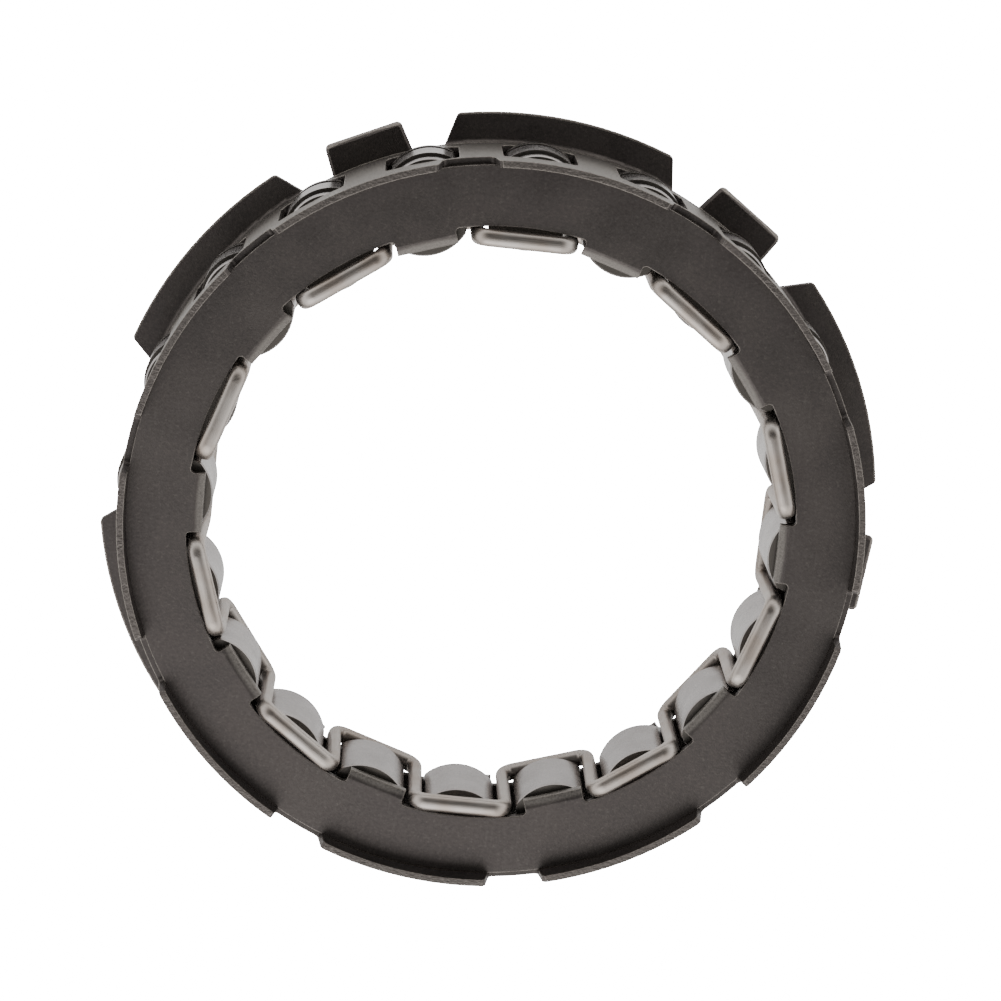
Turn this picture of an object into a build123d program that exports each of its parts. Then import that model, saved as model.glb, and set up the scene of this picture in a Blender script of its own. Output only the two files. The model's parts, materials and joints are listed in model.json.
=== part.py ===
"""Sprag clutch cage for a starter drive: a stamped outer cage with sprag windows and drive lugs,
two side plates, a meander retaining wire, two garter springs and twenty loose sprags.

The clutch lies on its rear lugs: the axis is +Z, the rear face of the lugs is at Z = 0 and the
front plate looks up. Sprag 1 is on the -Y side and the numbers run counter-clockwise. All
lengths are millimetres and all angles are degrees.
"""

import os
from math import cos, hypot, radians, sin, sqrt, tan

from build123d import *

# Ring of sprags
SPRAG_COUNT = 20
PITCH = 360 / SPRAG_COUNT
FIRST_ANGLE = -90
MID_HEIGHT = 6.65  # middle of the sprags above the rear face

# Sprag: two cams about nearly the same pivot, a waist and two garter grooves. Offsets are
# counter-clockwise from the radial line through the pivot.
PIVOT_RADIUS = 31.0
SPRAG_LENGTH = 7.6
CROWN_CAM = 4.55  # radius of the cam on the outer race
CROWN_OFFSET = -0.7
TOE_CAM = 4.65  # radius of the cam on the inner race
TOE_OFFSET = 0.0
HEAD_HALF_WIDTH = 3.1
FOOT_HALF_WIDTH = 3.5
WAIST_CUT = 0.8
WAIST_HALF_HEIGHT = 2.3
CAM_CORNER = 0.3
SPRAG_CHAMFER = 0.12
COLLAR_LENGTH = 0.9
COLLAR_DROP = 0.25  # the front collar stands this far below the crown
GROOVE_WIDTH = 1.1
GROOVE_FLOOR = 2.15  # radius of the groove floor about the pivot
GROOVE_SHOULDER = 1.2  # height of the groove's side shoulders above the pivot

# Outer cage. The stampings stand a little further round than the sprags.
STAMPING_TURN = 0.8
WALL_OUTER = 35.0
SHEET = 0.65
WALL_INNER = WALL_OUTER - SHEET
CAGE_HEIGHT = 13.6
WINDOW_WIDTH = 6.95
WINDOW_TURN = -1.15  # the windows follow the crowns
WINDOW_CLEARANCE = 0.25
WINDOW_CORNER = 0.7
NOTCH_COUNT = 10
NOTCH_TOP = 5.5
NOTCH_FLOOR = 4.7
NOTCH_CORNER = 0.5
LIP_CORNER = 0.3
LUG_RADIUS = 37.85
LUG_THICKNESS = 0.7
LUG_CORNER = 0.55
LUG_ROOT_FILLET = 0.4
LUG_PITCH = 60
LONG_LUG_COUNT = 6
LONG_LUG_ROOT_ARC = 37.4
LONG_LUG_TIP_ARC = 32.0
FIRST_LONG_LUG = 24
SHORT_LUG_ROOT = 8.0
SHORT_LUG_TIP = 7.6
SHORT_LUG_TILT = 10  # the short lugs are sprung forward
SHORT_LUG_EDGE = 0.25
SHORT_LUG_ANGLES = (54, 114, 234, 294, 354)  # the sixth place, at 174, has no lug

# Side plates
PLATE_FACE = 11.6  # height of the front plate's outer face
PLATE_THICKNESS = 0.65
PLATE_BORE = 28.7
TAB_COUNT = 10
TAB_WIDTH = 5.7
TAB_REACH = 27.1
TAB_DIP = 0.2  # how far a tab's end dips
TAB_DIP_LENGTH = 0.9
TAB_LIP_RADIUS = 0.2
TAB_ROOT_FILLET = 0.4
REAR_TAB_REACH = 27.75  # the rear tabs stay behind the toes

# Retaining wire: a flattened wire, bent to and fro through the gaps between the sprags
WIRE_DEPTH = 1.6  # across the wire, along the radius
WIRE_THICKNESS = 1.3
WIRE_EDGE = 0.4
WIRE_APOTHEM = 27.45
WIRE_FRONT = 11.85  # height of the front legs' centre line
WIRE_BEND = 1.15  # bend radius at the centre line
WIRE_LAP = 0.2

# Garter springs, each a closed ring in one row of sprag grooves
GARTER_THICKNESS = 0.9
GARTER_RADIUS = 33.75
GARTER_SIDES = 8  # the coil's round section, kept as a polygon

OUTPUT = "parts"


def polar(radius, angle):
    """The point at a radius and an angle in a plane square to the axis."""
    return (radius * cos(radians(angle)), radius * sin(radians(angle)))


def tangent_plane(radius):
    """The upright plane at a radius: its X axis runs round the ring and its Y axis is up."""
    return Plane(origin=(radius, 0, 0), x_dir=(0, 1, 0), z_dir=(1, 0, 0))


def save(part, name):
    """Label a finished piece and write it as its own STEP file."""
    part.label = name
    export_step(part, f"{OUTPUT}/{name}.step")


os.makedirs(OUTPUT, exist_ok=True)

sprag_rear = MID_HEIGHT - SPRAG_LENGTH / 2
sprag_front = MID_HEIGHT + SPRAG_LENGTH / 2
plate_rear = PLATE_FACE - PLATE_THICKNESS
slot_angle = FIRST_ANGLE + PITCH / 2

# ---------------------------------------------------------------- sprag
crown_height = PIVOT_RADIUS + sqrt(CROWN_CAM**2 - HEAD_HALF_WIDTH**2)
toe_height = PIVOT_RADIUS - sqrt(TOE_CAM**2 - FOOT_HALF_WIDTH**2)
waist_top = PIVOT_RADIUS + WAIST_HALF_HEIGHT
waist_bottom = PIVOT_RADIUS - WAIST_HALF_HEIGHT
relief_start = sprag_front - COLLAR_LENGTH - GROOVE_WIDTH

with BuildPart() as sprag:
    with BuildSketch(Plane.XY.offset(sprag_rear)) as sprag_profile:
        with BuildLine():
            head_left = CROWN_OFFSET + HEAD_HALF_WIDTH
            head_right = CROWN_OFFSET - HEAD_HALF_WIDTH
            foot_left = TOE_OFFSET + FOOT_HALF_WIDTH
            foot_right = TOE_OFFSET - FOOT_HALF_WIDTH
            ThreePointArc(
                (crown_height, head_right),
                (PIVOT_RADIUS + CROWN_CAM, CROWN_OFFSET),
                (crown_height, head_left),
            )
            Polyline(
                (crown_height, head_left),
                (waist_top, head_left),
                (PIVOT_RADIUS, (head_left + foot_left) / 2 - WAIST_CUT),
                (waist_bottom, foot_left),
                (toe_height, foot_left),
            )
            ThreePointArc(
                (toe_height, foot_left),
                (PIVOT_RADIUS - TOE_CAM, TOE_OFFSET),
                (toe_height, foot_right),
            )
            Polyline(
                (toe_height, foot_right),
                (waist_bottom, foot_right),
                (PIVOT_RADIUS, (head_right + foot_right) / 2 + WAIST_CUT),
                (waist_top, head_right),
                (crown_height, head_right),
            )
        make_face()
        cam_corners = sprag_profile.vertices().sort_by(Axis.X)
        chamfer(cam_corners[:2] + cam_corners[-2:], length=CAM_CORNER)
    extrude(amount=SPRAG_LENGTH)

    # The front collar stands a little below the crown.
    with BuildSketch(Plane.XY.offset(relief_start)):
        with Locations((waist_top, CROWN_OFFSET)):
            Rectangle(2 * CROWN_CAM, 4 * CROWN_CAM, align=(Align.MIN, Align.CENTER))
        with Locations((PIVOT_RADIUS, CROWN_OFFSET)):
            Circle(CROWN_CAM - COLLAR_DROP, mode=Mode.SUBTRACT)
    extrude(amount=sprag_front - relief_start, mode=Mode.SUBTRACT)
    chamfer(faces().filter_by(Plane.XY).group_by(Axis.Z)[0].edges(), length=SPRAG_CHAMFER)
    chamfer(faces().filter_by(Plane.XY).group_by(Axis.Z)[-1].edges(), length=SPRAG_CHAMFER)

    # One garter groove beside each end collar
    for groove_start in (sprag_rear + COLLAR_LENGTH, relief_start):
        with BuildSketch(Plane.XY.offset(groove_start)):
            with Locations((PIVOT_RADIUS + GROOVE_SHOULDER, 0)):
                Rectangle(2 * CROWN_CAM, 4 * CROWN_CAM, align=(Align.MIN, Align.CENTER))
            with Locations((PIVOT_RADIUS, 0)):
                Circle(GROOVE_FLOOR, mode=Mode.SUBTRACT)
        extrude(amount=GROOVE_WIDTH, mode=Mode.SUBTRACT)

for index in range(SPRAG_COUNT):
    angle = FIRST_ANGLE + index * PITCH
    save(sprag.part.rotate(Axis.Z, angle), f"sprag_{index + 1:02d}")

# ---------------------------------------------------------------- side plates
# Each tab starts flat at the bore and its end dips a little towards the sprags.
with BuildPart() as tab:
    tab_root = PLATE_BORE + PLATE_THICKNESS
    dip_start = TAB_REACH + TAB_DIP_LENGTH
    with BuildSketch(Plane.XZ.offset(-TAB_WIDTH)) as tab_section:
        with BuildLine():
            Polyline(
                (tab_root, PLATE_FACE),
                (dip_start, PLATE_FACE),
                (TAB_REACH, PLATE_FACE - TAB_DIP),
                (TAB_REACH, plate_rear - TAB_DIP),
                (dip_start, plate_rear),
                (tab_root, plate_rear),
                close=True,
            )
        make_face()
        tab_lip = tab_section.vertices().group_by(Axis.X)[0].sort_by(Axis.Y)[-1]
        fillet(tab_lip, radius=TAB_LIP_RADIUS)
    extrude(amount=2 * TAB_WIDTH)
    with BuildSketch(Plane.XY.offset(plate_rear - PLATE_THICKNESS)) as tab_outline:
        Circle(tab_root)
        Circle(PLATE_BORE, mode=Mode.SUBTRACT)
        with Locations((TAB_REACH, 0)):
            Rectangle(tab_root - TAB_REACH, TAB_WIDTH, align=(Align.MIN, Align.CENTER))
        root_corners = tab_outline.vertices().filter_by(
            lambda vertex: abs(hypot(vertex.X, vertex.Y) - PLATE_BORE) < TAB_ROOT_FILLET / 2
            and 0 < abs(vertex.Y) < TAB_WIDTH
        )
        fillet(root_corners, radius=TAB_ROOT_FILLET)
    extrude(amount=2 * PLATE_THICKNESS, mode=Mode.INTERSECT)

with BuildPart() as front_side_plate:
    with BuildSketch(Plane.XY.offset(plate_rear)):
        Circle(WALL_INNER)
        Circle(PLATE_BORE, mode=Mode.SUBTRACT)
    extrude(amount=PLATE_THICKNESS)
    with PolarLocations(0, TAB_COUNT, start_angle=FIRST_ANGLE + PITCH + STAMPING_TURN):
        add(tab.part)

# The rear plate is the same stamping with shorter tabs, turned over and one sprag further round.
with BuildPart() as rear_side_plate:
    mirror(front_side_plate.part, about=Plane.XY.offset(MID_HEIGHT), mode=Mode.ADD)
    with BuildSketch():
        Circle(REAR_TAB_REACH)
    extrude(amount=MID_HEIGHT, mode=Mode.SUBTRACT)

save(front_side_plate.part, "front_side_plate")
save(rear_side_plate.part.rotate(Axis.Z, PITCH), "rear_side_plate")

# ---------------------------------------------------------------- outer cage
with BuildPart() as window:
    window_height = SPRAG_LENGTH + 2 * WINDOW_CLEARANCE
    with BuildSketch(tangent_plane(WALL_INNER - 3 * SHEET)):
        with Locations((0, MID_HEIGHT)):
            RectangleRounded(WINDOW_WIDTH, window_height, WINDOW_CORNER)
    extrude(amount=6 * SHEET)

# A notch in the front rim widens upwards and leaves the lips with broken corners.
with BuildPart() as notch:
    half_mouth = NOTCH_TOP / 2 + LIP_CORNER
    with BuildSketch(tangent_plane(WALL_INNER - SHEET)) as notch_outline:
        with BuildLine():
            Polyline(
                (-NOTCH_FLOOR / 2, plate_rear),
                (NOTCH_FLOOR / 2, plate_rear),
                (NOTCH_TOP / 2, CAGE_HEIGHT - LIP_CORNER),
                (half_mouth, CAGE_HEIGHT),
                (half_mouth, CAGE_HEIGHT + SHEET),
                (-half_mouth, CAGE_HEIGHT + SHEET),
                (-half_mouth, CAGE_HEIGHT),
                (-NOTCH_TOP / 2, CAGE_HEIGHT - LIP_CORNER),
                close=True,
            )
        make_face()
        fillet(notch_outline.vertices().group_by(Axis.Y)[0], radius=NOTCH_CORNER)
    extrude(amount=3 * SHEET)

# A long lug is a flange sector whose ends are cut askew, so that it widens to its root. It
# starts at angle 0 and reaches into the middle of the wall's thickness.
inside = WALL_OUTER - SHEET / 2

with BuildPart() as long_lug:
    with BuildSketch(Plane.XZ):
        with BuildLine():
            root = WALL_OUTER + LUG_ROOT_FILLET
            Polyline(
                (WALL_OUTER, LUG_THICKNESS + LUG_ROOT_FILLET),
                (inside, LUG_THICKNESS + LUG_ROOT_FILLET),
                (inside, 0),
                (LUG_RADIUS, 0),
                (LUG_RADIUS, LUG_THICKNESS),
                (root, LUG_THICKNESS),
            )
            CenterArc((root, LUG_THICKNESS + LUG_ROOT_FILLET), LUG_ROOT_FILLET, 180, 90)
        make_face()
    revolve(axis=Axis.Z, revolution_arc=LONG_LUG_ROOT_ARC)
    with BuildSketch() as askew_outline:
        with BuildLine():
            tip_start = (LONG_LUG_ROOT_ARC - LONG_LUG_TIP_ARC) / 2
            tip_end = (LONG_LUG_ROOT_ARC + LONG_LUG_TIP_ARC) / 2
            Polyline(
                (0, 0),
                polar(inside, 0),
                polar(LUG_RADIUS, tip_start),
                polar(2 * LUG_RADIUS, tip_start),
                polar(2 * LUG_RADIUS, tip_end),
                polar(LUG_RADIUS, tip_end),
                polar(inside, LONG_LUG_ROOT_ARC),
                close=True,
            )
        make_face()
    extrude(amount=2 * LUG_THICKNESS, mode=Mode.INTERSECT)
    outer_corners = edges().filter_by(Axis.Z).sort_by(SortBy.DISTANCE)[-2:]
    fillet(outer_corners, radius=LUG_CORNER)

with BuildPart() as short_lug:
    tilt = radians(SHORT_LUG_TILT)
    along, up = (cos(tilt), 0, sin(tilt)), (-sin(tilt), 0, cos(tilt))
    lug_reach = (LUG_RADIUS - inside) / cos(tilt)
    with BuildSketch(Plane((inside, 0, 0), x_dir=along, z_dir=up)) as short_outline:
        with BuildLine():
            Polyline(
                (0, -SHORT_LUG_ROOT / 2),
                (lug_reach, -SHORT_LUG_TIP / 2),
                (lug_reach, SHORT_LUG_TIP / 2),
                (0, SHORT_LUG_ROOT / 2),
                close=True,
            )
        make_face()
        fillet(short_outline.vertices().group_by(Axis.X)[-1], radius=LUG_CORNER)
    extrude(amount=LUG_THICKNESS)
    front_edges = faces().sort_by(Axis.Z)[-1].edges().sort_by(Axis.X)[1:]
    chamfer(front_edges, length=SHORT_LUG_EDGE)

with BuildPart() as outer_cage:
    with BuildSketch():
        Circle(WALL_OUTER)
        Circle(WALL_INNER, mode=Mode.SUBTRACT)
    extrude(amount=CAGE_HEIGHT)
    rear_bore_edge = edges().filter_by(GeomType.CIRCLE).group_by(Axis.Z)[0].sort_by(SortBy.RADIUS)[0]
    fillet(rear_bore_edge, radius=SHEET / 2)
    for lug in range(LONG_LUG_COUNT):
        lug_start = FIRST_LONG_LUG + STAMPING_TURN + lug * LUG_PITCH - LONG_LUG_ROOT_ARC / 2
        with Locations(Location((0, 0, 0), (0, 0, lug_start))):
            add(long_lug.part)
    for lug_angle in SHORT_LUG_ANGLES:
        with Locations(Location((0, 0, 0), (0, 0, lug_angle + STAMPING_TURN))):
            add(short_lug.part)
    with PolarLocations(0, SPRAG_COUNT, start_angle=FIRST_ANGLE + WINDOW_TURN):
        add(window.part, mode=Mode.SUBTRACT)
    with PolarLocations(0, NOTCH_COUNT, start_angle=slot_angle + STAMPING_TURN):
        add(notch.part, mode=Mode.SUBTRACT)

save(outer_cage.part, "outer_cage")

# ---------------------------------------------------------------- retaining wire
# Two staples, one over the front of a sprag and one under its neighbour, make one wave of the
# wire. Their legs meet halfway along the gap between the two sprags.
leg_offset = WIRE_APOTHEM * tan(radians(PITCH / 2))
bend_height = WIRE_FRONT - WIRE_BEND

with BuildPart() as front_staple:
    with BuildSketch(Plane.XY.offset(MID_HEIGHT - WIRE_LAP)) as leg_section:
        with Locations((WIRE_APOTHEM, -leg_offset)):
            Rectangle(WIRE_DEPTH, WIRE_THICKNESS)
        chamfer(leg_section.vertices(), length=WIRE_EDGE)
    extrude(amount=bend_height - MID_HEIGHT + WIRE_LAP)
    bend_axis = Axis((WIRE_APOTHEM, WIRE_BEND - leg_offset, bend_height), (-1, 0, 0))
    revolve(faces().sort_by(Axis.Z)[-1], axis=bend_axis, revolution_arc=90)
    extrude(faces().sort_by(Axis.Y)[-1], amount=leg_offset - WIRE_BEND)
    mirror(about=Plane.XZ)

with BuildPart() as retaining_wire:
    with PolarLocations(0, SPRAG_COUNT // 2, start_angle=FIRST_ANGLE):
        add(front_staple.part)
    rear_staple = mirror(
        front_staple.part, about=Plane.XY.offset(MID_HEIGHT), mode=Mode.PRIVATE
    )
    with PolarLocations(0, SPRAG_COUNT // 2, start_angle=FIRST_ANGLE + PITCH):
        add(rear_staple)

save(retaining_wire.part, "retaining_wire")

# ---------------------------------------------------------------- garter springs
garter_offset = SPRAG_LENGTH / 2 - COLLAR_LENGTH - GROOVE_WIDTH / 2

for name, height in (
    ("front_garter_spring", MID_HEIGHT + garter_offset),
    ("rear_garter_spring", MID_HEIGHT - garter_offset),
):
    with BuildPart() as garter_spring:
        with BuildSketch(Plane.XZ):
            with Locations((GARTER_RADIUS, height)):
                RegularPolygon(GARTER_THICKNESS / 2, GARTER_SIDES)
        revolve(axis=Axis.Z)
    save(garter_spring.part, name)
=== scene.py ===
"""Looks of the sprag clutch: finishes, studio and the formed wire and coil springs.

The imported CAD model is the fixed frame. Stamped sheet, side plates and sprags keep their CAD
meshes and get procedural finishes; the retaining wire and the garter springs are built here
at their real form, in place of their plain CAD solids.
"""

import json
import logging
import math
from dataclasses import dataclass, field
from enum import Enum

import bpy
from mathutils import Matrix, Vector

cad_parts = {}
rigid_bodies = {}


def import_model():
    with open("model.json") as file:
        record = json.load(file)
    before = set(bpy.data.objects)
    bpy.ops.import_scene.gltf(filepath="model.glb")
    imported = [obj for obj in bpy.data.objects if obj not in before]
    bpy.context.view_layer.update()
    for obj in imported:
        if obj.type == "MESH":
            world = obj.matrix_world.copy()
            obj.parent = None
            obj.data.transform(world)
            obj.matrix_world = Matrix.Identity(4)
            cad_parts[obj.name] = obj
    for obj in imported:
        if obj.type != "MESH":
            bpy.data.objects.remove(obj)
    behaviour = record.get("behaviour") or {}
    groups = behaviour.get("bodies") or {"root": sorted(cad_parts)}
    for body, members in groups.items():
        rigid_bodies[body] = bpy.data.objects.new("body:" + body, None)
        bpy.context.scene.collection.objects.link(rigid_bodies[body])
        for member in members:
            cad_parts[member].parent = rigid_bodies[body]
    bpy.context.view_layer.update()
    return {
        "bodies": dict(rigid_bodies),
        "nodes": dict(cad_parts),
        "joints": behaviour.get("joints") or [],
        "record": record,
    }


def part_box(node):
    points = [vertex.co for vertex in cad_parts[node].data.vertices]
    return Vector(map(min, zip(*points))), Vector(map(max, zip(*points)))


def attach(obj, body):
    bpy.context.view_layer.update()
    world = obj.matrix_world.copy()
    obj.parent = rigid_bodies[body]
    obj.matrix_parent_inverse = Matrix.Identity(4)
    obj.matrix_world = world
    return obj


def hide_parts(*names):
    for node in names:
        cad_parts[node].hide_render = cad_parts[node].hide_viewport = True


MM = 0.001
WIRE_PLACE = "wire_place"
NOISE_SPAN = (0.3, 0.7)  # where most values of a noise lie
EDGE_SPAN = (0.995, 0.85)  # cosine between face and rounded normal, from flat face to edge
EDGE_PATCH_SPAN = (0.3, 0.55)  # noise over which the lighter edge line, partly wear and partly painted highlight, goes from faint to whole
EDGE_PATCH_SHARES = (0.35, 1.0)
BEVEL_SAMPLES = 6
log = logging.getLogger("sprag_clutch")


def linear(hex_colour: str) -> tuple[float, float, float, float]:
    """Turn an sRGB hex colour into linear RGBA.

    Args:
        hex_colour: Six hex digits after a hash sign.

    Returns:
        Linear red, green, blue and an alpha of one.
    """
    parts = (int(hex_colour[i : i + 2], 16) / 255 for i in (1, 3, 5))
    channels = [c / 12.92 if c <= 0.04045 else ((c + 0.055) / 1.055) ** 2.4 for c in parts]
    return (channels[0], channels[1], channels[2], 1.0)


def add_node(
    tree: bpy.types.NodeTree, kind: str, inputs: dict | None = None, **settings: object
) -> bpy.types.Node:
    """Add a node with its settings, values and links.

    Args:
        tree: Node tree that gets the node.
        kind: Blender's node type name.
        inputs: Socket name or number to a value, or to the output socket that feeds it.
        settings: Node properties, such as operation or blend_type.

    Returns:
        The new node.
    """
    node = tree.nodes.new(kind)
    for name, value in settings.items():
        setattr(node, name, value)
    for socket, value in (inputs or {}).items():
        if isinstance(value, bpy.types.NodeSocket):
            tree.links.new(value, node.inputs[socket])
        else:
            node.inputs[socket].default_value = value
    return node


def new_material(name: str) -> tuple[bpy.types.Material, bpy.types.NodeTree, bpy.types.Node]:
    """Start a material with only its surface shader and output.

    Args:
        name: Name of the finish.

    Returns:
        The material, its node tree and its Principled shader.
    """
    material = bpy.data.materials.new(name)
    material.use_nodes = True
    tree = material.node_tree
    tree.nodes.clear()
    shader = add_node(tree, "ShaderNodeBsdfPrincipled")
    add_node(tree, "ShaderNodeOutputMaterial", {"Surface": shader.outputs["BSDF"]})
    return material, tree, shader


def millimetres(tree: bpy.types.NodeTree) -> bpy.types.NodeSocket:
    """Give the point's place on the object in millimetres.

    Args:
        tree: Node tree that gets the nodes.

    Returns:
        The place, in the object's own axes.
    """
    place = add_node(tree, "ShaderNodeTexCoord")
    scaled = add_node(
        tree,
        "ShaderNodeVectorMath",
        {0: place.outputs["Object"], "Scale": 1 / MM},
        operation="SCALE",
    )
    return scaled.outputs["Vector"]


def noise(
    tree: bpy.types.NodeTree, place: bpy.types.NodeSocket, size_mm: float, detail: float = 2.0
) -> bpy.types.NodeSocket:
    """Give a noise whose patches have a size in millimetres.

    Args:
        tree: Node tree that gets the node.
        place: Place in millimetres.
        size_mm: Width of one patch.
        detail: Octaves of finer noise in it.

    Returns:
        The noise's value from 0 to 1.
    """
    inputs = {"Vector": place, "Scale": 1 / size_mm, "Detail": detail}
    return add_node(tree, "ShaderNodeTexNoise", inputs).outputs["Fac"]


def remap(
    tree: bpy.types.NodeTree,
    value: bpy.types.NodeSocket,
    source: tuple[float, float],
    target: tuple[float, float] = (0.0, 1.0),
) -> bpy.types.NodeSocket:
    """Map a value from one range to another and clamp it there."""
    inputs = {0: value, 1: source[0], 2: source[1], 3: target[0], 4: target[1]}
    return add_node(tree, "ShaderNodeMapRange", inputs).outputs["Result"]


def blend(
    tree: bpy.types.NodeTree,
    factor: bpy.types.NodeSocket,
    first: bpy.types.NodeSocket | tuple,
    second: bpy.types.NodeSocket | tuple,
) -> bpy.types.NodeSocket:
    """Mix two colours; 6, 7 and 2 are the mix node's colour sockets."""
    inputs = {0: factor, 6: first, 7: second}
    return add_node(tree, "ShaderNodeMix", inputs, data_type="RGBA").outputs[2]


def calculate(
    tree: bpy.types.NodeTree, operation: str, *values: bpy.types.NodeSocket | float
) -> bpy.types.NodeSocket:
    """Do one step of arithmetic on values."""
    inputs = dict(enumerate(values))
    return add_node(tree, "ShaderNodeMath", inputs, operation=operation).outputs[0]


def rounded_normal(tree: bpy.types.NodeTree, radius_mm: float) -> bpy.types.NodeSocket:
    """Give a normal that runs smoothly over sharp edges, as a small radius does."""
    inputs = {"Radius": radius_mm * MM}
    return add_node(tree, "ShaderNodeBevel", inputs, samples=BEVEL_SAMPLES).outputs["Normal"]


def edge_wear_and_highlight(
    tree: bpy.types.NodeTree, normal: bpy.types.NodeSocket, patches: bpy.types.NodeSocket
) -> bpy.types.NodeSocket:
    """Find the edges for the lighter line, partly wear and partly painted highlight, and break
    them into patches.

    Args:
        tree: Node tree that gets the nodes.
        normal: Normal from rounded_normal.
        patches: Noise that breaks the edge up.

    Returns:
        One on an edge painted lighter, partly worn and partly painted highlight, and zero on a
        face.
    """
    face = add_node(tree, "ShaderNodeNewGeometry").outputs["Normal"]
    same = add_node(tree, "ShaderNodeVectorMath", {0: normal, 1: face}, operation="DOT_PRODUCT")
    edge = remap(tree, same.outputs["Value"], EDGE_SPAN)
    return calculate(tree, "MULTIPLY", edge, remap(tree, patches, EDGE_PATCH_SPAN, EDGE_PATCH_SHARES))


def bump(
    tree: bpy.types.NodeTree,
    height: bpy.types.NodeSocket,
    depth_mm: float,
    normal: bpy.types.NodeSocket,
) -> bpy.types.NodeSocket:
    """Raise a height of a given depth over a normal."""
    inputs = {"Height": height, "Distance": depth_mm * MM, "Strength": 1.0, "Normal": normal}
    return add_node(tree, "ShaderNodeBump", inputs).outputs["Normal"]


@dataclass(frozen=True)
class PhosphatedSheet:
    """Blanked spring-steel strip with a manganese phosphate coat, oiled.

    The crystals make it a warm near-black with a fine dry mottle, and the rolled strip's waves
    show as slow clouds in the sheen. Every rim carries a thin lighter line, partly bare metal
    where handling wore the coat and partly a painted highlight. The sheared ends, on the rim and
    round the lugs, are coarser and paler. The tabs' ends and the outside of the wall are painted
    paler, partly burnished by rubbing and partly painted highlight.
    """

    name: str = "phosphated_spring_steel"
    crust: str = "#474342"
    thin_crust: str = "#56514f"
    bare_and_highlight: str = "#a09a94"
    sheared: str = "#625d5a"
    burnished_and_lit: str = "#77736f"
    rim_mm: float = 13.54
    lug_end_mm: float = 37.66
    wall_mm: float = 35.0
    wall_reach_mm: float = 0.06
    tab_end_mm: float = 27.9
    tab_fade_mm: float = 0.3
    grain_mm: float = 0.16
    mottle_mm: float = 0.4
    cloud_mm: float = 5.0
    scratch_mm: float = 0.25
    edge_mm: float = 0.16
    edge_patch_mm: float = 0.6
    fleck_grains: float = 2.2
    fleck_span: tuple[float, float] = (0.6, 0.75)
    tear_grains: float = 2.0
    scratch_stretch: tuple[float, float, float] = (1.0, 0.06, 0.6)
    scratch_turn: tuple[float, float, float] = (0.0, 0.0, 0.6)
    scratch_span: tuple[float, float] = (0.66, 0.74)
    sheared_span: tuple[float, float] = (0.35, 0.6)
    sheared_shares: tuple[float, float] = (0.3, 1.0)
    rubbed_and_lit_span: tuple[float, float] = (0.3, 0.6)
    rubbed_and_lit_shares: tuple[float, float] = (0.5, 1.0)
    mottle_share: float = 0.25
    fleck_share: float = 0.07
    scratch_peak: float = 0.5
    scratch_share: float = 0.05
    edge_line_share: float = 0.8
    lug_end_line_share: float = 0.6
    roughness: tuple[float, float] = (0.42, 0.5)
    grain_roughness: float = 0.05
    grain_depth_mm: float = 0.012
    tear_depth_mm: float = 0.08
    metallic: float = 0.85

    def build(self) -> bpy.types.Material:
        """Make the material.

        Returns:
            The finish, ready to go on an object.
        """
        material, tree, shader = new_material(self.name)
        place = millimetres(tree)
        grain = noise(tree, place, self.grain_mm, detail=3.0)
        clouds = noise(tree, place, self.cloud_mm)
        normal = rounded_normal(tree, self.edge_mm)
        rim, lug_ends, rubbed_and_lit = self.zones(tree, place)
        sheared = calculate(tree, "MAXIMUM", rim, lug_ends)
        # Painted highlight: every edge and the lugs' outer ends get a lighter line, partly bare
        # metal from wear and partly painted highlight.
        worn_and_lit_edges = edge_wear_and_highlight(tree, normal, noise(tree, place, self.edge_patch_mm))
        worn_and_lit_edges = calculate(tree, "MULTIPLY_ADD", lug_ends, self.lug_end_line_share, worn_and_lit_edges)

        spread = (-self.mottle_share, self.mottle_share)
        mottle = noise(tree, place, self.mottle_mm, detail=3.0)
        mottle = remap(tree, mottle, NOISE_SPAN, spread)
        share = calculate(tree, "ADD", clouds, mottle)
        colour = blend(tree, share, linear(self.crust), linear(self.thin_crust))
        layers = (
            (sheared, remap(tree, grain, self.sheared_span, self.sheared_shares), self.sheared),
            # Painted highlight: the outside of the wall and the tabs' rounded ends are painted
            # paler, partly burnished and partly the light that they pick up.
            (rubbed_and_lit, remap(tree, grain, self.rubbed_and_lit_span, self.rubbed_and_lit_shares), self.burnished_and_lit),
            # Painted glint: single crystals get light specks in the colour.
            (self.flecks(tree, place), self.fleck_share, self.bare_and_highlight),
            (self.scratches(tree, place), self.scratch_share, self.bare_and_highlight),
            # Painted highlight: the lighter edge line, partly wear, is laid on here.
            (worn_and_lit_edges, self.edge_line_share, self.bare_and_highlight),
        )
        for mask, strength, layer in layers:
            share = calculate(tree, "MULTIPLY", mask, strength)
            colour = blend(tree, share, colour, linear(layer))
        tree.links.new(colour, shader.inputs["Base Color"])

        spread = (-self.grain_roughness, self.grain_roughness)
        roughness = calculate(
            tree,
            "ADD",
            remap(tree, clouds, NOISE_SPAN, self.roughness),
            remap(tree, grain, NOISE_SPAN, spread),
        )
        tree.links.new(roughness, shader.inputs["Roughness"])
        normal = bump(tree, grain, self.grain_depth_mm, normal)
        tears = noise(tree, place, self.tear_grains * self.grain_mm)
        tears = calculate(tree, "MULTIPLY", tears, sheared)
        normal = bump(tree, tears, self.tear_depth_mm, normal)
        tree.links.new(normal, shader.inputs["Normal"])
        shader.inputs["Metallic"].default_value = self.metallic
        return material

    def flecks(
        self, tree: bpy.types.NodeTree, place: bpy.types.NodeSocket
    ) -> bpy.types.NodeSocket:
        """Find the single crystals that get a light speck, a painted glint."""
        crystals = noise(tree, place, self.fleck_grains * self.grain_mm, detail=1.0)
        return remap(tree, crystals, self.fleck_span)

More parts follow.
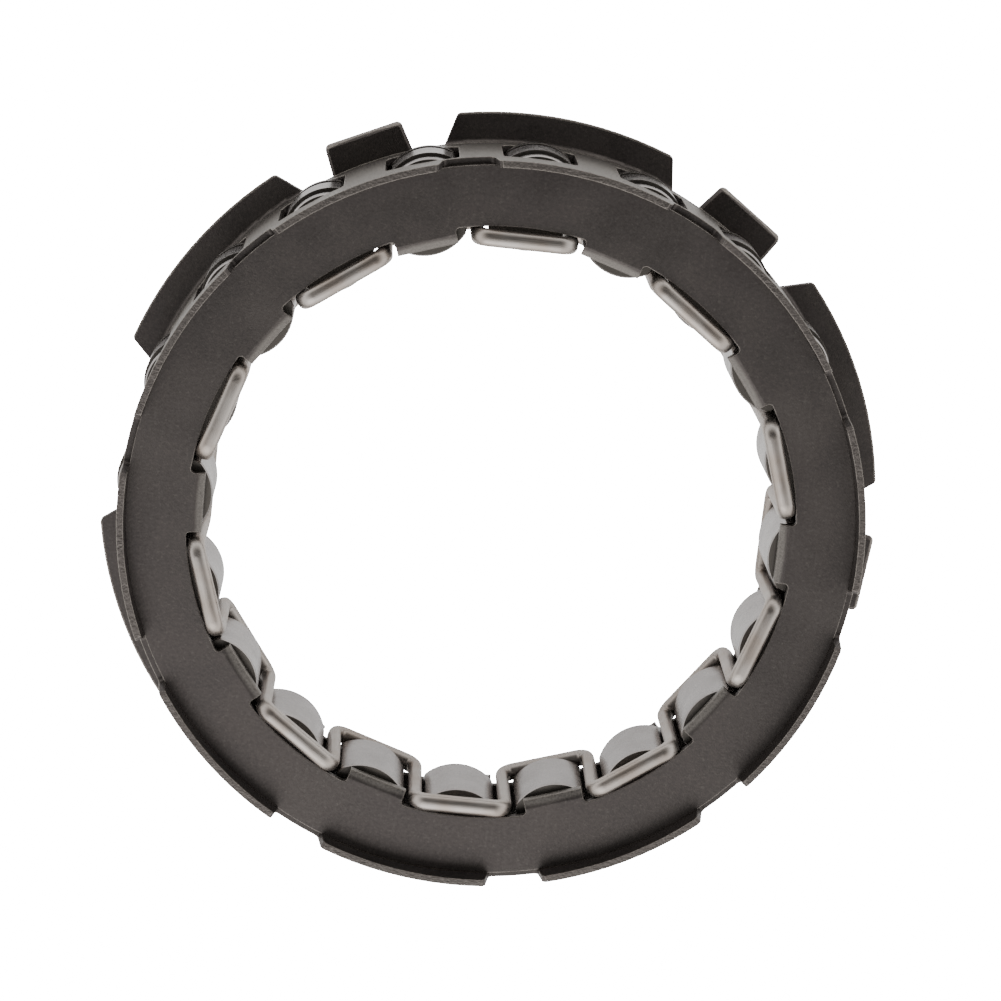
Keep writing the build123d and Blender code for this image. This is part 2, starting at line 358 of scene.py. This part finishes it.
    def scratches(
        self, tree: bpy.types.NodeTree, place: bpy.types.NodeSocket
    ) -> bpy.types.NodeSocket:
        """Find the faint hairlines of handling, which all run one way.

        Args:
            tree: Node tree that gets the nodes.
            place: Place in millimetres.

        Returns:
            The peak value on a hairline and zero beside it.
        """
        inputs = {"Vector": place, "Scale": self.scratch_stretch, "Rotation": self.scratch_turn}
        stretched = add_node(tree, "ShaderNodeMapping", inputs).outputs["Vector"]
        lines = noise(tree, stretched, self.scratch_mm, detail=1.0)
        return remap(tree, lines, self.scratch_span, (0.0, self.scratch_peak))

    def zones(
        self, tree: bpy.types.NodeTree, place: bpy.types.NodeSocket
    ) -> tuple[bpy.types.NodeSocket, bpy.types.NodeSocket, bpy.types.NodeSocket]:
        """Find the sheared ends, and the places painted paler, partly burnished and partly
        painted highlight, by where they lie.

        Args:
            tree: Node tree that gets the nodes.
            place: Place in millimetres.

        Returns:
            One on the rim's end faces, one on the lugs' outer ends, and one outside the wall
            and on the tabs' ends.
        """
        split = add_node(tree, "ShaderNodeSeparateXYZ", {"Vector": place})
        rim = calculate(tree, "GREATER_THAN", split.outputs["Z"], self.rim_mm)
        flat = add_node(
            tree, "ShaderNodeVectorMath", {0: place, 1: (1.0, 1.0, 0.0)}, operation="MULTIPLY"
        )
        out = add_node(
            tree, "ShaderNodeVectorMath", {0: flat.outputs["Vector"]}, operation="LENGTH"
        )
        radius = out.outputs["Value"]
        lug_end = calculate(tree, "GREATER_THAN", radius, self.lug_end_mm)
        wall = calculate(tree, "COMPARE", radius, self.wall_mm, self.wall_reach_mm)
        tab_end = remap(tree, radius, (self.tab_end_mm, self.tab_end_mm - self.tab_fade_mm))
        return rim, lug_end, calculate(tree, "MAXIMUM", wall, tab_end)


@dataclass(frozen=True)
class TumbledSprag:
    """Through-hardened bearing steel, the cams ground and then tumbled.

    Tumbling leaves an even satin grey and softens the edges. A trace of oil makes faint darker
    clouds, and the cams keep fine grinding lines along their length. The ends aren't ground and
    stay rougher; their faces are painted darker as painted shade, so a dark crescent stands
    beside each bright cam.
    """

    name: str = "tumbled_bearing_steel"
    colour: str = "#a29e9d"
    oiled: str = "#989493"
    painted_end_shade: str = "#625e5a"
    cloud_mm: float = 3.0
    oil_span: tuple[float, float] = (0.35, 0.65)
    line_mm: float = 0.12
    line_stretch: float = 0.05
    pit_mm: float = 0.1
    edge_mm: float = 0.09
    end_span: tuple[float, float] = (0.9, 0.98)
    roughness: tuple[float, float] = (0.24, 0.32)
    pit_roughness: float = 0.04
    end_face_roughness: float = 0.2
    line_depth_mm: float = 0.004
    pit_depth_mm: float = 0.003

    def build(self) -> bpy.types.Material:
        """Make the material.

        Returns:
            The finish, ready to go on an object.
        """
        material, tree, shader = new_material(self.name)
        place = millimetres(tree)
        clouds = noise(tree, place, self.cloud_mm, detail=3.0)
        inputs = {"Vector": place, "Scale": (1.0, 1.0, self.line_stretch)}
        stretched = add_node(tree, "ShaderNodeMapping", inputs).outputs["Vector"]
        lines = noise(tree, stretched, self.line_mm)
        pits = noise(tree, place, self.pit_mm, detail=1.0)
        oil = remap(tree, clouds, self.oil_span)
        colour = blend(tree, oil, linear(self.colour), linear(self.oiled))
        # Painted shade: faces that point along the axis, the sprags' ends, get a darker colour
        # for the dark reflection that they show.
        face = add_node(tree, "ShaderNodeNewGeometry").outputs["Normal"]
        facing = add_node(tree, "ShaderNodeSeparateXYZ", {"Vector": face}).outputs["Z"]
        end = remap(tree, calculate(tree, "ABSOLUTE", facing), self.end_span)
        colour = blend(tree, end, colour, linear(self.painted_end_shade))
        tree.links.new(colour, shader.inputs["Base Color"])
        roughness = calculate(
            tree,
            "ADD",
            remap(tree, clouds, NOISE_SPAN, self.roughness),
            remap(tree, pits, NOISE_SPAN, (-self.pit_roughness, self.pit_roughness)),
        )
        roughness = calculate(tree, "MULTIPLY_ADD", end, self.end_face_roughness, roughness)
        tree.links.new(roughness, shader.inputs["Roughness"])
        normal = bump(tree, lines, self.line_depth_mm, rounded_normal(tree, self.edge_mm))
        normal = bump(tree, pits, self.pit_depth_mm, normal)
        tree.links.new(normal, shader.inputs["Normal"])
        shader.inputs["Metallic"].default_value = 1.0
        return material


@dataclass(frozen=True)
class DrawnWire:
    """Bright drawn spring wire, rolled a little flat and straw-tempered.

    Drawing gives it a smooth bright skin with hair-fine die lines along its length; tempering
    warms the colour.
    """

    name: str = "drawn_spring_wire"
    colour: str = "#aca6a1"
    temper: str = "#a1978f"
    die_line_mm: float = 0.1
    line_stretch: float = 0.04
    line_depth_mm: float = 0.004
    temper_mm: float = 3.0
    temper_span: tuple[float, float] = (0.4, 0.65)
    roughness: tuple[float, float] = (0.32, 0.42)

    def build(self) -> bpy.types.Material:
        """Make the material.

        Returns:
            The finish, ready to go on an object.
        """
        material, tree, shader = new_material(self.name)
        place = millimetres(tree)
        run = add_node(tree, "ShaderNodeAttribute", attribute_name=WIRE_PLACE).outputs["Vector"]
        inputs = {"Vector": run, "Scale": (self.line_stretch, 1.0, 1.0)}
        stretched = add_node(tree, "ShaderNodeMapping", inputs).outputs["Vector"]
        lines = noise(tree, stretched, self.die_line_mm)
        tempered = remap(tree, noise(tree, place, self.temper_mm), self.temper_span)
        colour = blend(tree, tempered, linear(self.colour), linear(self.temper))
        tree.links.new(colour, shader.inputs["Base Color"])
        tree.links.new(remap(tree, lines, NOISE_SPAN, self.roughness), shader.inputs["Roughness"])
        face = add_node(tree, "ShaderNodeNewGeometry").outputs["Normal"]
        tree.links.new(bump(tree, lines, self.line_depth_mm, face), shader.inputs["Normal"])
        shader.inputs["Metallic"].default_value = 1.0
        return material


def dress(node: bpy.types.Object, material: bpy.types.Material) -> None:
    """Put one finish on every slot of an object.

    Args:
        node: Object to dress.
        material: Its finish.
    """
    if not node.material_slots:
        node.data.materials.append(material)
    for slot in node.material_slots:
        slot.material = material


def tube_mesh(name: str, rings: list[list[Vector]]) -> bpy.types.Object:
    """Skin a closed row of section rings into a smooth tube.

    Every point keeps its run along the tube and its place round the section, in millimetres,
    for finishes that follow the wire.

    Args:
        name: Name of the piece.
        rings: Section points of each station, the same number in each.

    Returns:
        The new object, linked to the scene.
    """
    count = len(rings[0])
    points = [point for ring in rings for point in ring]
    quads = []
    for station in range(len(rings)):
        here, there = station * count, (station + 1) % len(rings) * count
        for corner in range(count):
            after = (corner + 1) % count
            quads.append((here + corner, here + after, there + after, there + corner))
    mesh = bpy.data.meshes.new(name)
    mesh.from_pydata(points, [], quads)
    mesh.polygons.foreach_set("use_smooth", [True] * len(mesh.polygons))

    run = 0.0
    places = []
    for station, ring in enumerate(rings):
        run += (ring[0] - rings[station - 1][0]).length / MM if station else 0.0
        middle = sum(ring, Vector()) / count
        places += [value for point in ring for value in (run, *((point - middle) / MM)[1:])]
    attribute = mesh.attributes.new(WIRE_PLACE, "FLOAT_VECTOR", "POINT")
    attribute.data.foreach_set("vector", places)
    piece = bpy.data.objects.new(name, mesh)
    bpy.context.scene.collection.objects.link(piece)
    return piece


@dataclass
class RetainingWire:
    """Flattened wire bent to and fro between the sprags, over one plate and under the other."""

    node: str = "retaining_wire"
    body: str = "cage"
    waves: int = 10
    depth: float = 1.68 * MM
    thickness: float = 1.3 * MM
    apothem: float = 27.48 * MM
    bend: float = 1.15 * MM
    squareness: float = 2.2
    section_points: int = 28
    first_angle: float = -90.0
    climb_steps: int = 6
    bend_steps: int = 8
    across_steps: int = 4
    front: float = field(init=False)
    rear: float = field(init=False)

    def __post_init__(self) -> None:
        """Read the wire's heights from its CAD solid."""
        low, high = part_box(self.node)
        self.front = high.z - self.thickness / 2
        self.rear = low.z + self.thickness / 2

    def section(self) -> list[tuple[float, float]]:
        """Give the wire's outline, a superellipse.

        Returns:
            Each point's offsets along the wire's depth and thickness.
        """
        turns = (2 * math.pi * step / self.section_points for step in range(self.section_points))
        power = 2 / self.squareness
        return [
            (
                self.depth / 2 * math.copysign(abs(math.cos(turn)) ** power, math.cos(turn)),
                self.thickness / 2 * math.copysign(abs(math.sin(turn)) ** power, math.sin(turn)),
            )
            for turn in turns
        ]

    def leg_path(self) -> list[tuple[float, float, float, float, float]]:
        """Give one staple's stations from mid-height, over the top and back.

        Returns:
            Each station's run round the ring, height above the middle, its direction as run
            and height, and its share of the twist towards the neighbouring staple.
        """
        reach = self.apothem * math.tan(math.radians(180 / (2 * self.waves)))
        top = (self.front - self.rear) / 2
        straight = top - self.bend
        stations = []
        for step in range(self.climb_steps):
            share = step / self.climb_steps
            twist = 0.5 * (1 + math.cos(math.pi * share))
            stations.append((-reach, straight * share, 0.0, 1.0, -twist))
        for step in range(self.bend_steps + 1):
            turn = math.radians(90 * step / self.bend_steps)
            stations.append(
                (
                    -reach + self.bend * (1 - math.cos(turn)),
                    straight + self.bend * math.sin(turn),
                    math.sin(turn),
                    math.cos(turn),
                    0.0,
                )
            )
        side = list(stations)
        for step in range(1, self.across_steps):
            along = 2 * (reach - self.bend) * step / self.across_steps
            stations.append((-reach + self.bend + along, top, 1.0, 0.0, 0.0))
        for run, height, run_way, height_way, twist in reversed(side):
            stations.append((-run, height, run_way, -height_way, -twist))
        return stations[:-1]

    def build(self, material: bpy.types.Material) -> bpy.types.Object:
        """Make the wire as one closed tube.

        Args:
            material: Finish of the wire.

        Returns:
            The wire, riding on the cage.
        """
        outline = self.section()
        middle = (self.front + self.rear) / 2
        half_pitch = 180 / (2 * self.waves)
        rings = []
        for leg in range(2 * self.waves):
            side = 1 if leg % 2 == 0 else -1
            angle = self.first_angle + 2 * half_pitch * leg
            for run, height, run_way, height_way, twist in self.leg_path():
                frame = Matrix.Rotation(math.radians(angle), 3, "Z")
                centre = frame @ Vector((self.apothem, run, 0))
                centre.z = middle + side * height
                turned = math.radians(angle + twist * half_pitch)
                out = Matrix.Rotation(turned, 3, "Z") @ Vector((1, 0, 0))
                along = frame @ Vector((0, run_way, side * height_way))
                across = along.cross(out).normalized()
                rings.append([centre + out * x + across * y for x, y in outline])
        wire = tube_mesh("formed_retaining_wire", rings)
        dress(wire, material)
        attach(wire, self.body)
        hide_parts(self.node)
        return wire


class GarterRow(Enum):
    """The two rows of grooves that hold a garter spring."""

    FRONT = "front_garter_spring"
    REAR = "rear_garter_spring"


@dataclass
class GarterSpring:
    """Close-wound coil hooked into a ring and seated in the sprags' grooves."""

    row: GarterRow
    body: str = "cage"
    wire: float = 0.2 * MM
    pitch: float = 0.25 * MM
    turn_points: int = 8
    wire_points: int = 4

    def build(self, material: bpy.types.Material) -> bpy.types.Object:
        """Make the coil.

        Args:
            material: Finish of the wire.

        Returns:
            The coil, riding on the cage.
        """
        low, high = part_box(self.row.value)
        coil_radius = (high.z - low.z) / 2 - self.wire / 2
        height = (high.z + low.z) / 2
        ring_radius = (high.x - low.x) / 2 - (high.z - low.z) / 2
        turns = round(2 * math.pi * ring_radius / self.pitch)
        total = turns * self.turn_points
        section = [2 * math.pi * step / self.wire_points for step in range(self.wire_points)]
        rings = []
        for index in range(total):
            about = 2 * math.pi * index / total
            wound = 2 * math.pi * index / self.turn_points
            out = Vector((math.cos(about), math.sin(about), 0))
            spoke = out * math.cos(wound) + Vector((0, 0, math.sin(wound)))
            centre = out * ring_radius + Vector((0, 0, height)) + spoke * coil_radius
            along = Vector((0, 0, 1)).cross(out)
            ways = (spoke * math.cos(turn) + along * math.sin(turn) for turn in section)
            rings.append([centre + way * (self.wire / 2) for way in ways])
        coil = tube_mesh(self.row.value.replace("spring", "coil"), rings)
        dress(coil, material)
        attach(coil, self.body)
        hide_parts(self.row.value)
        return coil


@dataclass
class StampedCage:
    """Outer cage and the two side plates, all blanked from the same sheet."""

    nodes: tuple[str, ...] = ("outer_cage", "front_side_plate", "rear_side_plate")

    def dress(self, frame: dict, material: bpy.types.Material) -> None:
        """Give the stampings their finish.

        Args:
            material: The sheet's finish.
        """
        for name in self.nodes:
            dress(frame["nodes"][name], material)
            log.info("dressed %s", name)


@dataclass
class SpragRing:
    """The loose sprags."""

    count: int = 20

    def dress(self, frame: dict, material: bpy.types.Material) -> None:
        """Give every sprag its finish.

        Args:
            material: The sprags' finish.
        """
        for number in range(1, self.count + 1):
            dress(frame["nodes"][f"sprag_{number:02d}"], material)
        log.info("dressed %d sprags", self.count)


@dataclass
class Studio:
    """Pale floor, light tent, soft key light and the camera."""

    camera_place: Vector = field(default_factory=lambda: Vector((-15.05, 70.18, 284.18)) * MM)
    camera_target: Vector = field(default_factory=lambda: Vector((0.78, 1.66, 6.8)) * MM)
    camera_up: Vector = field(default_factory=lambda: Vector((-0.11216, 0.99369, 0.0)))
    lens: float = 107.9
    sensor: float = 36.0
    near_clip: float = 5 * MM
    floor_half: float = 1.5
    floor_colour: str = "#f4f4f2"
    floor_roughness: float = 0.9
    floor_glow: float = 22.0
    table_light: float = 0.7
    tent_light: float = 1.85
    tent_colour: str = "#f7f5f2"
    opening_light: float = 0.05
    opening_span: tuple[float, float] = (0.54, 0.91)
    key_place: Vector = field(default_factory=lambda: Vector((-0.1, -0.4, 0.52)))
    key_size: float = 0.5
    key_power: float = 1.3

    def place_camera(self) -> None:
        """Make the camera and point it at the ring."""
        data = bpy.data.cameras.new("camera")
        data.lens, data.sensor_width = self.lens, self.sensor
        data.clip_start = self.near_clip
        camera = bpy.data.objects.new("camera", data)
        bpy.context.scene.collection.objects.link(camera)
        back = (self.camera_place - self.camera_target).normalized()
        right = self.camera_up.cross(back).normalized()
        up = back.cross(right)
        turn = Matrix((right, up, back)).transposed()
        camera.matrix_world = Matrix.Translation(self.camera_place) @ turn.to_4x4()
        bpy.context.scene.camera = camera

    def lay_floor(self) -> None:
        """Make the floor that the part lies on."""
        half = self.floor_half
        corners = [(-half, -half, 0), (half, -half, 0), (half, half, 0), (-half, half, 0)]
        mesh = bpy.data.meshes.new("floor")
        mesh.from_pydata(corners, [], [(0, 1, 2, 3)])
        floor = bpy.data.objects.new("floor", mesh)
        bpy.context.scene.collection.objects.link(floor)
        material, tree, shader = new_material("pale_floor")
        shader.inputs["Base Color"].default_value = linear(self.floor_colour)
        shader.inputs["Roughness"].default_value = self.floor_roughness
        # The table is lit from below, and the camera sees it as plain white.
        shader.inputs["Emission Color"].default_value = linear("#ffffff")
        seen = add_node(tree, "ShaderNodeLightPath").outputs["Is Camera Ray"]
        glow = calculate(tree, "MULTIPLY_ADD", seen, self.floor_glow, self.table_light)
        tree.links.new(glow, shader.inputs["Emission Strength"])
        dress(floor, material)

    def hang_key(self) -> None:
        """Hang the square soft light, aimed at the part."""
        data = bpy.data.lights.new("key", "AREA")
        data.size, data.energy = self.key_size, self.key_power
        light = bpy.data.objects.new("key", data)
        light.location = self.key_place
        light.rotation_euler = self.key_place.to_track_quat("Z", "Y").to_euler()
        bpy.context.scene.collection.objects.link(light)

    def light_room(self) -> None:
        """Make the room: a light tent with the dark opening that the camera looks through."""
        world = bpy.data.worlds.new("soft_room")
        bpy.context.scene.world = world
        world.use_nodes = True
        tree = world.node_tree
        tree.nodes.clear()
        way = add_node(tree, "ShaderNodeTexCoord").outputs["Generated"]
        opening = add_node(
            tree,
            "ShaderNodeVectorMath",
            {0: way, 1: self.camera_place.normalized()},
            operation="DOT_PRODUCT",
        )
        levels = (self.tent_light, self.opening_light)
        strength = remap(tree, opening.outputs["Value"], self.opening_span, levels)
        inputs = {"Color": linear(self.tent_colour), "Strength": strength}
        room = add_node(tree, "ShaderNodeBackground", inputs)
        add_node(tree, "ShaderNodeOutputWorld", {"Surface": room.outputs["Background"]})

    def build(self) -> None:
        """Make the whole studio."""
        self.place_camera()
        self.lay_floor()
        self.hang_key()
        self.light_room()


def main() -> None:
    """Build the looks of the clutch around its CAD frame."""
    logging.basicConfig(level=logging.INFO, format="%(name)s: %(message)s")
    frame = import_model()
    Studio().build()
    sheet = PhosphatedSheet().build()
    sprag_steel = TumbledSprag().build()
    wire_steel = DrawnWire().build()
    StampedCage().dress(frame, sheet)
    SpragRing().dress(frame, sprag_steel)
    wire = RetainingWire().build(wire_steel)
    log.info("built %s", wire.name)
    for row in GarterRow:
        log.info("built %s", GarterSpring(row).build(wire_steel).name)


if __name__ == "__main__":
    main()
